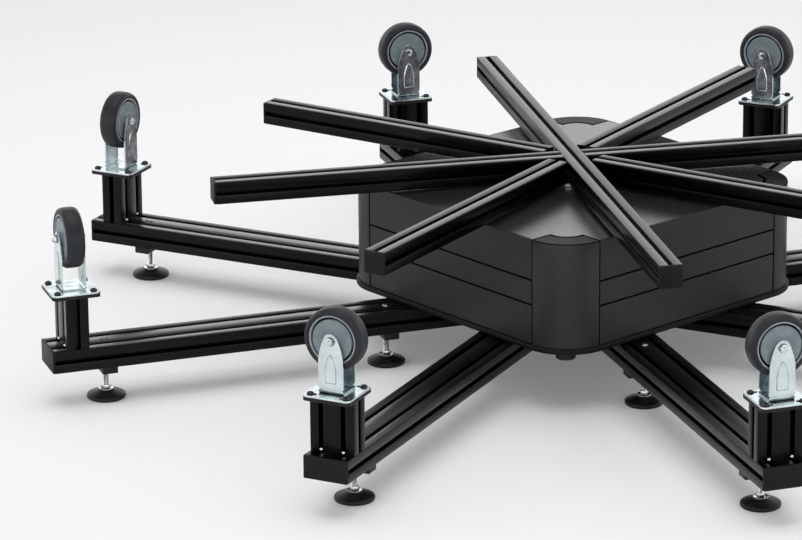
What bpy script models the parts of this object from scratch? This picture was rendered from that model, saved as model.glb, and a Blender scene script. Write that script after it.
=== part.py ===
"""Motorised turntable frame: eight floor arms with castor posts, a square drive box, and a rotating star.

Metres, +Z up, floor at Z = 0, the turning axis on X = Y = 0. The box's faces look along +-X and +-Y.
"""

import math

import bpy
import bmesh
from mathutils import Matrix, Vector

# ---------------------------------------------------------------- driving dimensions
GAP = 0.0003                 # clearance between pieces that touch

MODULE = 0.040               # slotted extrusion grid: 40 x 40, and 80 x 40 for the base
SLOT_MOUTH = 0.0082
SLOT_WIDE = 0.0150
SLOT_SHOULDER = 0.0060
SLOT_FLOOR = 0.0090
SLOT_DEPTH = 0.0120
EDGE = 0.0015                # softened outer edge of an extrusion
CAP = 0.004                  # plastic end cap

ARMS = 8
ARM_AZ = 22.5                # azimuth of the first arm, degrees
ARM_W = 2 * MODULE
ARM_Z = 0.0664               # underside of an arm
ARM_TOP = ARM_Z + MODULE
ARM_IN = 0.130
ARM_OUT = 0.967

POST_OUT = 0.941             # outer face of a post
POST_R = POST_OUT - MODULE / 2
ADAPTOR_Z = 0.1985           # black adaptor plate that closes the post
PLATE_Z = 0.2048             # castor plate, underside and top
PLATE_TOP = 0.2080
PLATE = 0.085
PLATE_BOLT = 0.032

AXLE_Z = 0.2975
WHEEL_R = 0.0525
TREAD = 0.0326
HUB_HALF = 0.0187
AXLE_R = 0.005
AXLE_REACH = 0.0095          # how far the axle bolt's end stands out of the fork
FORK_HALF = 0.022
FORK_T = 0.0028
FORK_FOOT = 0.0445
FORK_TIP = 0.0130
FORK_SHOULDER = 0.058        # height at which a fork leg begins to narrow, above the plate

FOOT_R = 0.0338
FOOT_OUTER = 0.864
FOOT_INNER = 0.351
STEM_R = 0.005
BLOCK = (0.068, 0.0133, 0.028)  # foot block, sideways, up and along the arm
BLOCK_Z = 0.0531
BORE_TOP = 0.094

BOX = 0.2935                 # half size of the drive box, to its side panels
SEAM = 0.2116                # where a side panel meets a corner column
COVER_R = 0.330              # round edge of the top cover inside each corner
RIM = 0.0048                 # how far the base plate stands proud
BASE_Z = 0.1067
BASE_TOP = 0.1164
BOX_TOP = 0.3045
PANEL_T = 0.0032
GROOVES = (0.1871, 0.2314)
GROOVE_W = 0.0022
GROOVE_D = 0.0012
COVER_T = 0.003
BUFFER_R = 0.0175
BUFFER_AT = 0.355
BUFFER_Z = 0.0925

HUB_R = 0.055                # turning hub under the star
HUB_HOLE = 0.060
SHAFT_R = 0.030
DISC_R = 0.150
DISC_Z = (0.152, 0.166)
ROLLER_R = 0.030
ROLLER_AZ = 200.0            # where the friction roller stands, degrees

STAR_Z = 0.310               # underside and top of the star
STAR_TOP = STAR_Z + MODULE
STAR_R = 0.648
STAR_AZ = 16.25              # azimuth of the first beam, degrees
DIAGONAL_IN = 0.0505         # where a diagonal beam starts, just clear of its neighbours' corners

# ---------------------------------------------------------------- an empty scene
for item in list(bpy.data.objects):
    bpy.data.objects.remove(item, do_unlink=True)
home = bpy.data.collections.new("MotorisedTurntable")
bpy.context.scene.collection.children.link(home)


def material(name, colour, metallic, roughness):
    made = bpy.data.materials.new(name)
    made.use_nodes = True
    shader = made.node_tree.nodes["Principled BSDF"]
    shader.inputs["Base Color"].default_value = (*colour, 1.0)
    shader.inputs["Metallic"].default_value = metallic
    shader.inputs["Roughness"].default_value = roughness
    return made


ANODISED = material("black_anodised", (0.020, 0.020, 0.022), 0.7, 0.42)
COVER = material("charcoal_cover", (0.045, 0.043, 0.043), 0.2, 0.38)
ZINC = material("zinc_plate", (0.62, 0.66, 0.67), 0.9, 0.35)
TYRE = material("grey_tyre", (0.075, 0.072, 0.078), 0.0, 0.65)
PLASTIC = material("black_plastic", (0.015, 0.015, 0.016), 0.0, 0.45)
STEEL = material("machined_steel", (0.50, 0.50, 0.52), 1.0, 0.35)
MOTOR = material("motor_housing", (0.12, 0.13, 0.14), 0.4, 0.5)


# ---------------------------------------------------------------- modelling helpers
def baked(obj):
    """The object's evaluated shape as a plain mesh, with its doubled points joined."""
    bpy.context.view_layer.update()
    graph = bpy.context.evaluated_depsgraph_get()
    mesh = bpy.data.meshes.new_from_object(obj.evaluated_get(graph))
    mesh.materials.clear()
    work = bmesh.new()
    work.from_mesh(mesh)
    bmesh.ops.remove_doubles(work, verts=work.verts, dist=0.00001)
    work.to_mesh(mesh)
    work.free()
    return mesh


def solid(mesh, name="piece"):
    made = bpy.data.objects.new(name, mesh)
    home.objects.link(made)
    return made


def settle(obj):
    """Replaces an object by its baked shape."""
    made = solid(baked(obj))
    made.matrix_world = obj.matrix_world.copy()
    bpy.data.objects.remove(obj, do_unlink=True)
    return made


def placed(obj, matrix):
    obj.data.transform(matrix)
    return obj


def extruded(outlines, low, high):
    """A flat outline, with any holes after it, drawn out along Z from low to high."""
    curve = bpy.data.curves.new("outline", "CURVE")
    curve.dimensions = "2D"
    curve.fill_mode = "BOTH"
    curve.extrude = (high - low) / 2
    for outline in outlines:
        spline = curve.splines.new("POLY")
        spline.points.add(len(outline) - 1)
        for point, (x, y) in zip(spline.points, outline):
            point.co = (x, y, 0, 1)
        spline.use_cyclic_u = True
    drawn = bpy.data.objects.new("outline", curve)
    home.objects.link(drawn)
    made = solid(baked(drawn))
    bpy.data.objects.remove(drawn, do_unlink=True)
    return placed(made, Matrix.Translation((0, 0, (high + low) / 2)))


def turned(profile, steps, closed=False):
    """A profile in the XZ plane, turned about Z."""
    mesh = bpy.data.meshes.new("profile")
    count = len(profile)
    edges = [(i, i + 1) for i in range(count - 1)] + ([(count - 1, 0)] if closed else [])
    mesh.from_pydata([(x, 0, z) for x, z in profile], edges, [])
    made = solid(mesh)
    screw = made.modifiers.new("Turn", "SCREW")
    screw.axis = "Z"
    screw.angle = math.tau
    screw.steps = steps
    screw.render_steps = steps
    screw.use_merge_vertices = True
    screw.merge_threshold = 0.00001
    return settle(made)


def cylinder(radius, low, high, steps, bevel=0.0):
    profile = [(0, high), (radius, high), (radius, low), (0, low)]
    if bevel:
        profile[1:2] = [(radius - bevel, high), (radius, high - bevel)]
    return turned(profile, steps)


def block(size, centre, bevel=0.0, segments=2, upright=False):
    """A box, with its edges rounded, or with only its upright edges rounded."""
    bpy.ops.mesh.primitive_cube_add(size=1)
    made = bpy.context.active_object
    for owner in list(made.users_collection):
        owner.objects.unlink(made)
    home.objects.link(made)
    made.data.transform(Matrix.Translation(centre) @ Matrix.Diagonal((*size, 1)))
    if bevel:
        work = bmesh.new()
        work.from_mesh(made.data)
        edges = [
            edge for edge in work.edges
            if not upright or abs((edge.verts[0].co - edge.verts[1].co).normalized().z) > 0.9
        ]
        bmesh.ops.bevel(work, geom=edges, offset=bevel, segments=segments, profile=0.5, affect="EDGES")
        work.to_mesh(made.data)
        work.free()
    return made


def combine(base, other, operation="UNION"):
    """Joins, cuts or intersects two solids, and keeps the first."""
    change = base.modifiers.new("Combine", "BOOLEAN")
    change.operation = operation
    change.solver = "EXACT"
    change.object = other
    made = settle(base)
    bpy.data.objects.remove(other, do_unlink=True)
    return made


def finish(obj, name, look, matrix=None):
    """Names a piece, gives it its material, and stands its origin at the matrix."""
    obj.name = name
    obj.data.name = name
    obj.data.materials.clear()
    obj.data.materials.append(look)
    if matrix is not None:
        obj.matrix_world = matrix
    return obj


def radial(azimuth, radius=0.0, height=0.0):
    """Local X runs sideways, local Y up and local Z outwards along the azimuth."""
    angle = math.radians(azimuth)
    out = Vector((math.cos(angle), math.sin(angle), 0))
    side = Vector((-math.sin(angle), math.cos(angle), 0))
    turn = Matrix((side, Vector((0, 0, 1)), out)).transposed().to_4x4()
    return Matrix.Translation(out * radius + Vector((0, 0, height))) @ turn


def upright(azimuth, radius=0.0, height=0.0):
    """Local X runs outwards along the azimuth, local Y sideways and local Z up."""
    turn = Matrix.Rotation(math.radians(azimuth), 4, "Z")
    return turn @ Matrix.Translation((radius, 0, height))


# ---------------------------------------------------------------- slotted extrusions
def slotted(width, height):
    """Outline of an extrusion with one T-slot per module on each of its faces."""
    points = []
    faces = ((width, height, 0), (height, width, 90), (width, height, 180), (height, width, 270))
    for length, across, turn in faces:
        angle = math.radians(turn)
        cosine, sine = round(math.cos(angle)), round(math.sin(angle))
        run = [(-length / 2 + EDGE, 0)]
        slots = round(length / MODULE)
        for index in range(slots):
            middle = (index - (slots - 1) / 2) * MODULE
            run += [
                (middle - SLOT_MOUTH / 2, 0), (middle - SLOT_WIDE / 2, SLOT_SHOULDER),
                (middle - SLOT_FLOOR / 2, SLOT_DEPTH), (middle + SLOT_FLOOR / 2, SLOT_DEPTH),
                (middle + SLOT_WIDE / 2, SLOT_SHOULDER), (middle + SLOT_MOUTH / 2, 0),
            ]
        run += [(length / 2 - EDGE, 0)]
        for along, depth in run:
            x, y = along, -across / 2 + depth
            points.append((x * cosine - y * sine, x * sine + y * cosine))
    return points


def end_cap(width, height, low, high):
    return block((width - GAP, height - GAP, high - low), (0, 0, (low + high) / 2))


# ---------------------------------------------------------------- base arms
def make_arm(index):
    azimuth = ARM_AZ + 360 / ARMS * index
    arm = extruded([slotted(ARM_W, MODULE)], ARM_IN, ARM_OUT - CAP + 0.001)
    arm = combine(arm, end_cap(ARM_W, MODULE, ARM_OUT - CAP, ARM_OUT))
    for radius in feet_of(index):
        low = BLOCK_Z - ARM_TOP + MODULE / 2
        wide, high, long = BLOCK
        high += 0.0022
        pad = block((wide, high, long), (0, low + high / 2, radius))
        arm = combine(arm, pad)
        bore = cylinder(STEM_R + 0.0005, low - 0.01, BORE_TOP - ARM_TOP + MODULE / 2, 10)
        placed(bore, Matrix.Translation((0, 0, radius)) @ Matrix.Rotation(-math.pi / 2, 4, "X"))
        arm = combine(arm, bore, "DIFFERENCE")
    finish(arm, f"base_arm_{index + 1}", ANODISED, radial(azimuth, 0, ARM_Z + MODULE / 2))


def feet_of(index):
    return (FOOT_OUTER, FOOT_INNER) if index % 2 else (FOOT_OUTER,)


# ---------------------------------------------------------------- posts, castors and wheels
def make_post(index):
    azimuth = ARM_AZ + 360 / ARMS * index
    post = extruded([slotted(MODULE, ARM_W)], ARM_TOP + GAP, ADAPTOR_Z + 0.002)
    adaptor = block(
        (PLATE, PLATE, PLATE_Z - GAP - ADAPTOR_Z), (0, 0, (PLATE_Z - GAP + ADAPTOR_Z) / 2), 0.008, 2, True
    )
    post = combine(post, adaptor)
    finish(post, f"castor_post_{index + 1}", ANODISED, upright(azimuth, POST_R))


def make_castor(index):
    """Plate, riveted fork, axle and plate bolts. X is outwards, Y is the rolling direction."""
    azimuth = ARM_AZ + 360 / ARMS * index
    plate = block((PLATE, PLATE, PLATE_TOP - PLATE_Z), (0, 0, (PLATE_TOP + PLATE_Z) / 2), 0.010, 2, True)
    low, high = PLATE_TOP - 0.001, AXLE_Z + FORK_TIP + 0.005
    inside, floor = FORK_HALF - FORK_T, PLATE_TOP + FORK_T
    channel = extruded([[
        (-FORK_HALF, low), (FORK_HALF, low), (FORK_HALF, high), (inside, high),
        (inside, floor), (-inside, floor), (-inside, high), (-FORK_HALF, high),
    ]], -0.04, 0.04)
    placed(channel, Matrix.Rotation(math.pi / 2, 4, "X"))
    half, base, shoulder = FORK_FOOT / 2, low - 0.001, PLATE_TOP + FORK_SHOULDER
    arc = [
        (FORK_TIP * math.cos(math.radians(a)), AXLE_Z + FORK_TIP * math.sin(math.radians(a)))
        for a in range(25, 156, 26)
    ]
    waist = (0.0189, AXLE_Z - 0.015)
    shape = extruded([[
        (-half, base), (half, base), (half, shoulder), waist, *arc, (-waist[0], waist[1]), (-half, shoulder),
    ]], -0.03, 0.03)
    placed(shape, Matrix.Rotation(math.pi / 2, 4, "Z") @ Matrix.Rotation(math.pi / 2, 4, "X"))
    fork = combine(channel, shape, "INTERSECT")
    castor = combine(plate, fork)
    reach, head = FORK_HALF + AXLE_REACH, FORK_HALF + 0.0055
    lying = Matrix.Translation((0, 0, AXLE_Z)) @ Matrix.Rotation(math.pi / 2, 4, "Y")
    axle = turned([
        (0, reach), (AXLE_R, reach), (AXLE_R, head), (0.0075, head), (0.0075, FORK_HALF - 0.001),
        (AXLE_R, FORK_HALF - 0.001), (AXLE_R, 0.001 - FORK_HALF), (0.0075, 0.001 - FORK_HALF),
        (0.0075, -head), (0, -head),
    ], 10)
    castor = combine(castor, placed(axle, lying))
    high = PLATE_TOP + 0.0045
    for x in (-PLATE_BOLT, PLATE_BOLT):
        for y in (-PLATE_BOLT, PLATE_BOLT):
            bolt = turned([(0, high), (0.004, high), (0.007, low), (0, low)], 8)
            castor = combine(castor, placed(bolt, Matrix.Translation((x, y, 0))))
    finish(castor, f"castor_bracket_{index + 1}", ZINC, upright(azimuth, POST_R))


def make_wheel(index):
    azimuth = ARM_AZ + 360 / ARMS * index
    half = TREAD / 2
    side = [
        (WHEEL_R, 0.010), (WHEEL_R - 0.0035, half), (0.0395, half), (0.012, half - 0.004),
        (0.011, HUB_HALF), (AXLE_R + 0.0003, HUB_HALF),
    ]
    outer_down = [(r, z) for r, z in reversed(side)] + [(r, -z) for r, z in side]
    wheel = turned(outer_down, 20, closed=True)
    finish(wheel, f"castor_wheel_{index + 1}", TYRE, radial(azimuth, POST_R, AXLE_Z))


# ---------------------------------------------------------------- levelling feet
def make_foot(index, radius, name):
    azimuth = ARM_AZ + 360 / ARMS * index
    foot = turned([
        (0, 0.076), (STEM_R, 0.076), (STEM_R, 0.0235), (0.0076, 0.0235), (0.0076, 0.0175),
        (0.0126, 0.0172), (0.0132, 0.0150), (0.0318, 0.0082), (FOOT_R, 0.006), (FOOT_R, 0), (0, 0),
    ], 14)
    finish(foot, name, PLASTIC, upright(azimuth, radius))


# ---------------------------------------------------------------- drive box
def arc_points(centre, radius, first, last, count):
    steps = [math.radians(first + (last - first) * i / (count - 1)) for i in range(count)]
    return [(centre[0] + radius * math.cos(a), centre[1] + radius * math.sin(a)) for a in steps]


def quarter_turns(points):
    """The points of one quarter, repeated all the way round."""
    ring = []
    for cosine, sine in ((1, 0), (0, 1), (-1, 0), (0, -1)):
        ring += [(x * cosine - y * sine, x * sine + y * cosine) for x, y in points]
    return ring


def make_base_frame():
    corner = arc_points((SEAM, SEAM), BOX - SEAM + RIM, 0, 90, 9)
    frame = extruded([quarter_turns(corner)], BASE_Z, BASE_TOP)
    edge = SEAM + GAP
    inner = math.sqrt(COVER_R ** 2 - edge ** 2)
    turn = math.degrees(math.atan2(edge, inner))
    column = arc_points((SEAM, SEAM), BOX - SEAM, 0.3, 89.7, 9) + [(edge, inner)]
    column += arc_points((0, 0), COVER_R, 90 - turn, turn, 5)[1:-1] + [(inner, edge)]
    for quarter in range(4):
        tower = extruded([column], BASE_TOP - 0.003, BOX_TOP)
        frame = combine(frame, placed(tower, Matrix.Rotation(math.radians(90 * quarter), 4, "Z")))
        rubber = cylinder(BUFFER_R, BUFFER_Z, BASE_Z + 0.003, 12)
        spot = upright(45 + 90 * quarter, BUFFER_AT)
        frame = combine(frame, placed(rubber, spot))
    socket = turned([
        (SHAFT_R + 0.0006, 0.140), (0.048, 0.140), (0.052, BASE_TOP - 0.003), (SHAFT_R + 0.0006, BASE_TOP - 0.003),
    ], 24, closed=True)
    frame = combine(frame, socket)
    finish(frame, "base_frame", COVER)


def make_panel(index, name):
    """Side panel with two long grooves. Its section is drawn in X and Y, then laid along the face."""
    out, back = BOX, BOX - PANEL_T
    section = [(back, BASE_TOP + GAP), (out, BASE_TOP + GAP)]
    for height in GROOVES:
        section += [
            (out, height - GROOVE_W / 2), (out - GROOVE_D, height - GROOVE_W / 2),
            (out - GROOVE_D, height + GROOVE_W / 2), (out, height + GROOVE_W / 2),
        ]
    section += [(out, BOX_TOP - 0.0008), (out - 0.0008, BOX_TOP), (back, BOX_TOP)]
    panel = extruded([section], GAP - SEAM, SEAM - GAP)
    placed(panel, Matrix.Rotation(math.pi / 2, 4, "X"))
    finish(panel, name, COVER, upright(90 * index))


def make_cover():
    half, edge, radius = BOX - PANEL_T - GAP, SEAM - GAP, COVER_R - GAP
    inner = math.sqrt(radius ** 2 - edge ** 2)
    turn = math.degrees(math.atan2(edge, inner))
    corner = [(half, edge)] + arc_points((0, 0), radius, turn, 90 - turn, 5) + [(edge, half)]
    hole = arc_points((0, 0), HUB_HOLE, 0, 345, 24)
    finish(extruded([quarter_turns(corner), hole], BOX_TOP - COVER_T, BOX_TOP), "top_cover", COVER)


def make_drive():
    """Turning hub with its friction disc, the roller that drives it, and the gear motor with its control case."""
    bottom, top = DISC_Z
    hub = turned([
        (0, STAR_Z - GAP), (HUB_R, STAR_Z - GAP), (HUB_R, 0.290), (SHAFT_R, 0.270), (SHAFT_R, top),
        (DISC_R, top), (DISC_R, bottom), (SHAFT_R, bottom), (SHAFT_R, BASE_TOP + GAP), (0, BASE_TOP + GAP),
    ], 32)
    finish(hub, "turning_hub", STEEL)
    reach = DISC_R + ROLLER_R + GAP
    roller = turned([
        (0, bottom + 0.002), (0.0054, bottom + 0.002), (0.0054, top + 0.002), (0.012, top + 0.002), (0.012, top),
        (ROLLER_R, top), (ROLLER_R, bottom), (0, bottom),
    ], 24)
    finish(roller, "drive_roller", TYRE, upright(ROLLER_AZ, reach))
    gearbox = block((0.076, 0.070, 0.050), (0.006, 0, top + 0.035), 0.003, 1)
    shaft = cylinder(0.005, bottom + 0.004, top + 0.020, 12)
    gearbox = combine(gearbox, shaft)
    gearbox = combine(gearbox, cylinder(0.029, top + 0.055, 0.292, 20, 0.003))
    foot = BASE_TOP + GAP
    gearbox = combine(gearbox, block((0.010, 0.070, top + 0.055 - foot), (0.0405, 0, (top + 0.055 + foot) / 2)))
    case = block((0.058, 0.130, 0.095), (0.0715, 0, foot + 0.0475), 0.002, 1)
    gearbox = combine(gearbox, case)
    finish(gearbox, "gear_motor_unit", MOTOR, upright(ROLLER_AZ, reach))


# ---------------------------------------------------------------- rotating star
def make_beam(name, azimuth, start, through=False):
    low = -STAR_R + CAP - 0.001 if through else start
    beam = extruded([slotted(MODULE, MODULE)], low, STAR_R - CAP + 0.001)
    beam = combine(beam, end_cap(MODULE, MODULE, STAR_R - CAP, STAR_R))
    if through:
        beam = combine(beam, end_cap(MODULE, MODULE, -STAR_R, CAP - STAR_R))
    finish(beam, name, ANODISED, radial(azimuth, 0, STAR_Z + MODULE / 2))


# ---------------------------------------------------------------- the whole frame
make_base_frame()
for index, name in enumerate(("side_panel_right", "side_panel_back", "side_panel_left", "side_panel_front")):
    make_panel(index, name)
make_cover()
make_drive()
for index in range(ARMS):
    make_arm(index)
    make_post(index)
    make_castor(index)
    make_wheel(index)
    make_foot(index, FOOT_OUTER, f"levelling_foot_{index + 1}")
    if index % 2:
        make_foot(index, FOOT_INNER, f"inner_foot_{index + 1}")
make_beam("star_beam_through", STAR_AZ + 45, 0, through=True)
for number, quarter in enumerate((1, 3)):
    make_beam(f"star_beam_cross_{number + 1}", STAR_AZ + 45 + 90 * quarter, MODULE / 2 + GAP)
for number in range(4):
    make_beam(f"star_beam_diagonal_{number + 1}", STAR_AZ + 90 * number, DIAGONAL_IN)
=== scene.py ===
"""Studio view of a motorised turntable frame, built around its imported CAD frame.

Metres, +Z up, floor at Z = 0.
"""

import math

import bmesh
import bpy
from mathutils import Matrix, Vector


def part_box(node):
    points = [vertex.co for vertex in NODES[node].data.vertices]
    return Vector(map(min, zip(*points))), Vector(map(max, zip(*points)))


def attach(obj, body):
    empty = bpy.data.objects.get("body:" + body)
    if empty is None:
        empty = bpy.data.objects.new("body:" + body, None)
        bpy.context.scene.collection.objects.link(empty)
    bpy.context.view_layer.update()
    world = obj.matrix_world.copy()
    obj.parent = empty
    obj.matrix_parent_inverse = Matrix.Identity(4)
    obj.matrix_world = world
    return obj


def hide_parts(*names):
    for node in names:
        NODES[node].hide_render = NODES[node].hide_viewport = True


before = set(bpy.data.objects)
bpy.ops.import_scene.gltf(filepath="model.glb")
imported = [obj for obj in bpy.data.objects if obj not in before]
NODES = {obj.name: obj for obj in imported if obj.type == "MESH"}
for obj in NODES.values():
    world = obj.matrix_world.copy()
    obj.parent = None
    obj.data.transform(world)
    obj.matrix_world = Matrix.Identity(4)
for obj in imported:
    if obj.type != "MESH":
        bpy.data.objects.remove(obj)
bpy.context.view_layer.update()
LOW, HIGH = 0, 1


# ---------------------------------------------------------------- places, read from the frame
def middle(node):
    low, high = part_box(node)
    return (low + high) / 2


def polar(node):
    """(azimuth in degrees, radius) of a node's middle."""
    point = middle(node)
    return math.degrees(math.atan2(point.y, point.x)), math.hypot(point.x, point.y)


ARMS = range(1, 9)
INNER = [k for k in ARMS if f"inner_foot_{k}" in NODES]
AZIMUTH = {k: polar(f"castor_wheel_{k}")[0] for k in ARMS}
POST_R = polar("castor_wheel_1")[1]
FOOT_OUTER = polar("levelling_foot_1")[1]
FOOT_INNER = polar(f"inner_foot_{INNER[0]}")[1]

ARM_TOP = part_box("base_arm_1")[HIGH].z
BLOCK_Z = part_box("base_arm_1")[LOW].z
POST_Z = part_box("castor_post_1")[LOW].z
POST_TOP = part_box("castor_post_1")[HIGH].z
PLATE_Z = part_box("castor_bracket_1")[LOW].z
FORK_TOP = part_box("castor_bracket_1")[HIGH].z
AXLE_Z = middle("castor_wheel_1").z
WHEEL_R = AXLE_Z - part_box("castor_wheel_1")[LOW].z
STAR_Z, STAR_TOP = (corner.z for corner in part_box("star_beam_through"))
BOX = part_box("side_panel_right")[HIGH].x
PANEL_Z, BOX_TOP = (corner.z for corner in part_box("side_panel_right"))
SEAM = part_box("side_panel_right")[HIGH].y + 0.0003
BASE_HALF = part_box("base_frame")[HIGH].x
BUFFER_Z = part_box("base_frame")[LOW].z

# ---------------------------------------------------------------- details too fine for the boxes
MODULE = 0.040
SLOT = 0.0041                # half the mouth of a slot
CAP = 0.004
ARM_IN, ARM_OUT = 0.130, 0.967
STAR_R = 0.648
DIAGONAL_IN = 0.0505
ADAPTOR_Z = 0.1985
PLATE = 0.085
PLATE_TOP = 0.2080
PLATE_BOLT = 0.032
FORK_HALF, FORK_T = 0.022, 0.0028
FORK_WIDE = 0.02225
FORK_SHOULDER = 0.058
AXLE_R = 0.005
HUB_HALF = 0.0187
TREAD = 0.0163
FOOT_R = 0.0338
STEM_R = 0.005
BLOCK = (0.028, 0.068)      # along the arm and sideways
BASE_Z = 0.1067
BASE_TOP = 0.1164
NOTCH_R, NOTCH_AT = 0.0388, 0.2142
COVER_T = 0.003
HUB_HOLE = 0.060
BUFFER_R, BUFFER_AT = 0.0175, 0.355
GROOVES = (0.1871, 0.2314)
PANEL_T = 0.0032
SCREW_R = 0.0062             # dome heads on the arms and castor plates
AXLE_HEX = 0.0142            # across the corners
STEM_HEX = 0.0152
BOLT_SPOTS = [(x, y) for x in (-PLATE_BOLT, PLATE_BOLT) for y in (-PLATE_BOLT, PLATE_BOLT)]
STAR_AZIMUTH = 61.25         # of the beam that runs through
FOOT_TURN = 17               # degrees from one foot's nut to the next one's
JOINED = 0.000004            # points nearer than this are one
STILL = Matrix.Identity(4)

# ---------------------------------------------------------------- the studio, in degrees and metres
VIEW_AZIMUTH, VIEW_ELEVATION, VIEW_ROLL = 318.92162, 18.51754, 0.51785
VIEWPOINT = (-5.3104, -5.6275, 2.7243)
LENS, SENSOR = 205.03, 36    # millimetres
PAPER_HALF = 30
PAPER_NEAR, PAPER_FAR = 1.1, 3.2      # where the floor starts and stops darkening
PAPER_LIGHT, PAPER_DARK = 0.745, 0.588
# painted light: the strength of the floor's own glow
PAPER_GLOW = 0.12
SKY = ((0.36, 0.72), (0.55, 0.15), (0.84, 0.15), (0.93, 1.0))     # (height, brightness)
SKY_LOW, SKY_HIGH = 0.72, 1.0
SKY_STRENGTH = 2.65


# ---------------------------------------------------------------- materials
def shader(name, colour, metallic, roughness, **sockets):
    made = bpy.data.materials.new(name)
    made.use_nodes = True
    node = made.node_tree.nodes["Principled BSDF"]
    node.inputs["Base Color"].default_value = (*colour, 1)
    node.inputs["Metallic"].default_value = metallic
    node.inputs["Roughness"].default_value = roughness
    for socket, value in sockets.items():
        node.inputs[socket.replace("_", " ")].default_value = value
    return made


class Tree:
    """Short ways to add nodes to a material."""

    def __init__(self, material):
        self.nodes, self.links = material.node_tree.nodes, material.node_tree.links
        self.shader = self.nodes["Principled BSDF"]
        self.place = self.nodes.new("ShaderNodeTexCoord").outputs["Object"]

    def noise(self, scale, detail=2.0, stretch=(1, 1, 1), rough=0.5):
        mapping = self.nodes.new("ShaderNodeMapping")
        mapping.inputs["Scale"].default_value = stretch
        self.links.new(self.place, mapping.inputs["Vector"])
        made = self.nodes.new("ShaderNodeTexNoise")
        made.inputs["Scale"].default_value = scale
        made.inputs["Detail"].default_value = detail
        made.inputs["Roughness"].default_value = rough
        self.links.new(mapping.outputs["Vector"], made.inputs["Vector"])
        return made.outputs["Fac"]

    def ramp(self, source, low, high, start=0.3, end=0.7):
        """Colour or grey from low to high as the source goes from start to end."""
        made = self.nodes.new("ShaderNodeValToRGB")
        for element, place, value in zip(made.color_ramp.elements, (start, end), (low, high)):
            element.position = place
            element.color = (*value, 1) if hasattr(value, "__len__") else (value, value, value, 1)
        self.links.new(source, made.inputs["Fac"])
        return made.outputs["Color"]

    def add(self, first, second, share=0.5):
        made = self.nodes.new("ShaderNodeMix")
        made.inputs["Factor"].default_value = share
        self.links.new(first, made.inputs["A"])
        self.links.new(second, made.inputs["B"])
        return made.outputs["Result"]

    def bump(self, source, strength, distance):
        made = self.nodes.new("ShaderNodeBump")
        made.inputs["Strength"].default_value = strength
        made.inputs["Distance"].default_value = distance
        self.links.new(source, made.inputs["Height"])
        self.links.new(made.outputs["Normal"], self.shader.inputs["Normal"])

    def colour(self, source):
        self.links.new(source, self.shader.inputs["Base Color"])

    def rough(self, source):
        self.links.new(source, self.shader.inputs["Roughness"])


def anodised():
    """Black anodised aluminium, with the extrusion die's fine lines along its length, local Z."""
    made = shader("black_anodised_aluminium", (0.014, 0.014, 0.015), 1.0, 0.3)
    tree = Tree(made)
    lines = tree.noise(1400, 3, (1, 1, 0.004))
    patches = tree.noise(9, 3, (1, 1, 0.35))
    tree.colour(tree.ramp(patches, (0.011, 0.011, 0.012), (0.019, 0.019, 0.021)))
    tree.rough(tree.ramp(tree.add(lines, patches), 0.24, 0.36))
    tree.bump(lines, 0.10, 0.0003)
    return made


def moulded(name, low, high, roughness, grain, gloss):
    """Injection-moulded plastic with a fine leather grain."""
    made = shader(name, low, 0.0, roughness, Specular_IOR_Level=gloss)
    tree = Tree(made)
    fine, broad = tree.noise(grain, 2), tree.noise(24, 3)
    tree.colour(tree.ramp(broad, low, high))
    tree.rough(tree.ramp(tree.add(fine, broad), roughness - 0.06, roughness + 0.06))
    tree.bump(fine, 0.18, 0.0003)
    return made


def powder(name, low, high, roughness, peel, gloss):
    """Powder coat: a slight orange peel under a satin skin."""
    made = shader(name, low, 0.0, roughness, Specular_IOR_Level=gloss)
    tree = Tree(made)
    fine, broad = tree.noise(620, 2), tree.noise(5, 3)
    tree.colour(tree.ramp(broad, low, high))
    tree.rough(tree.ramp(tree.add(fine, broad), roughness - 0.04, roughness + 0.05))
    tree.bump(fine, peel, 0.0004)
    return made


def zinc(name="bright_zinc", colour=(0.70, 0.785, 0.80), roughness=0.2, mottle=0.86, flow=0.06):
    """Bright zinc plating: bluish, with faint thicker and thinner patches and fine scratches."""
    made = shader(name, colour, 1.0, roughness)
    tree = Tree(made)
    patches, fine = tree.noise(38, 4), tree.noise(900, 2, (1, 1, 0.05))
    dull = tuple(mottle * c for c in colour)
    tree.colour(tree.ramp(patches, dull, colour, 0.35, 0.62))
    tree.rough(tree.ramp(tree.add(patches, fine), roughness - 0.05, roughness + 0.09))
    tree.bump(tree.add(fine, patches, 0.3), flow, 0.0004)
    return made


def rubber():
    """Grey thermoplastic tyre: matt, finely mottled, a little paler where it has been scuffed."""
    made = shader("grey_tyre_rubber", (0.013, 0.014, 0.017), 0.0, 0.45, Specular_IOR_Level=0.22)
    tree = Tree(made)
    fine, broad = tree.noise(700, 3), tree.noise(30, 4)
    tree.colour(tree.ramp(broad, (0.0120, 0.0127, 0.0152), (0.0185, 0.0193, 0.0225)))
    tree.rough(tree.ramp(tree.add(fine, broad), 0.38, 0.52))
    tree.bump(fine, 0.12, 0.0003)
    return made


def hub_plastic(name, low, high, roughness):
    """Grey-green moulded hub with a fine spark-eroded texture."""
    made = shader(name, low, 0.0, roughness, Specular_IOR_Level=0.5)
    tree = Tree(made)
    fine, broad = tree.noise(330, 3), tree.noise(60, 3)
    tree.colour(tree.ramp(tree.add(fine, broad), low, high, 0.4, 0.6))
    tree.rough(tree.ramp(fine, roughness - 0.05, roughness + 0.08))
    tree.bump(fine, 0.25, 0.0005)
    return made


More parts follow.
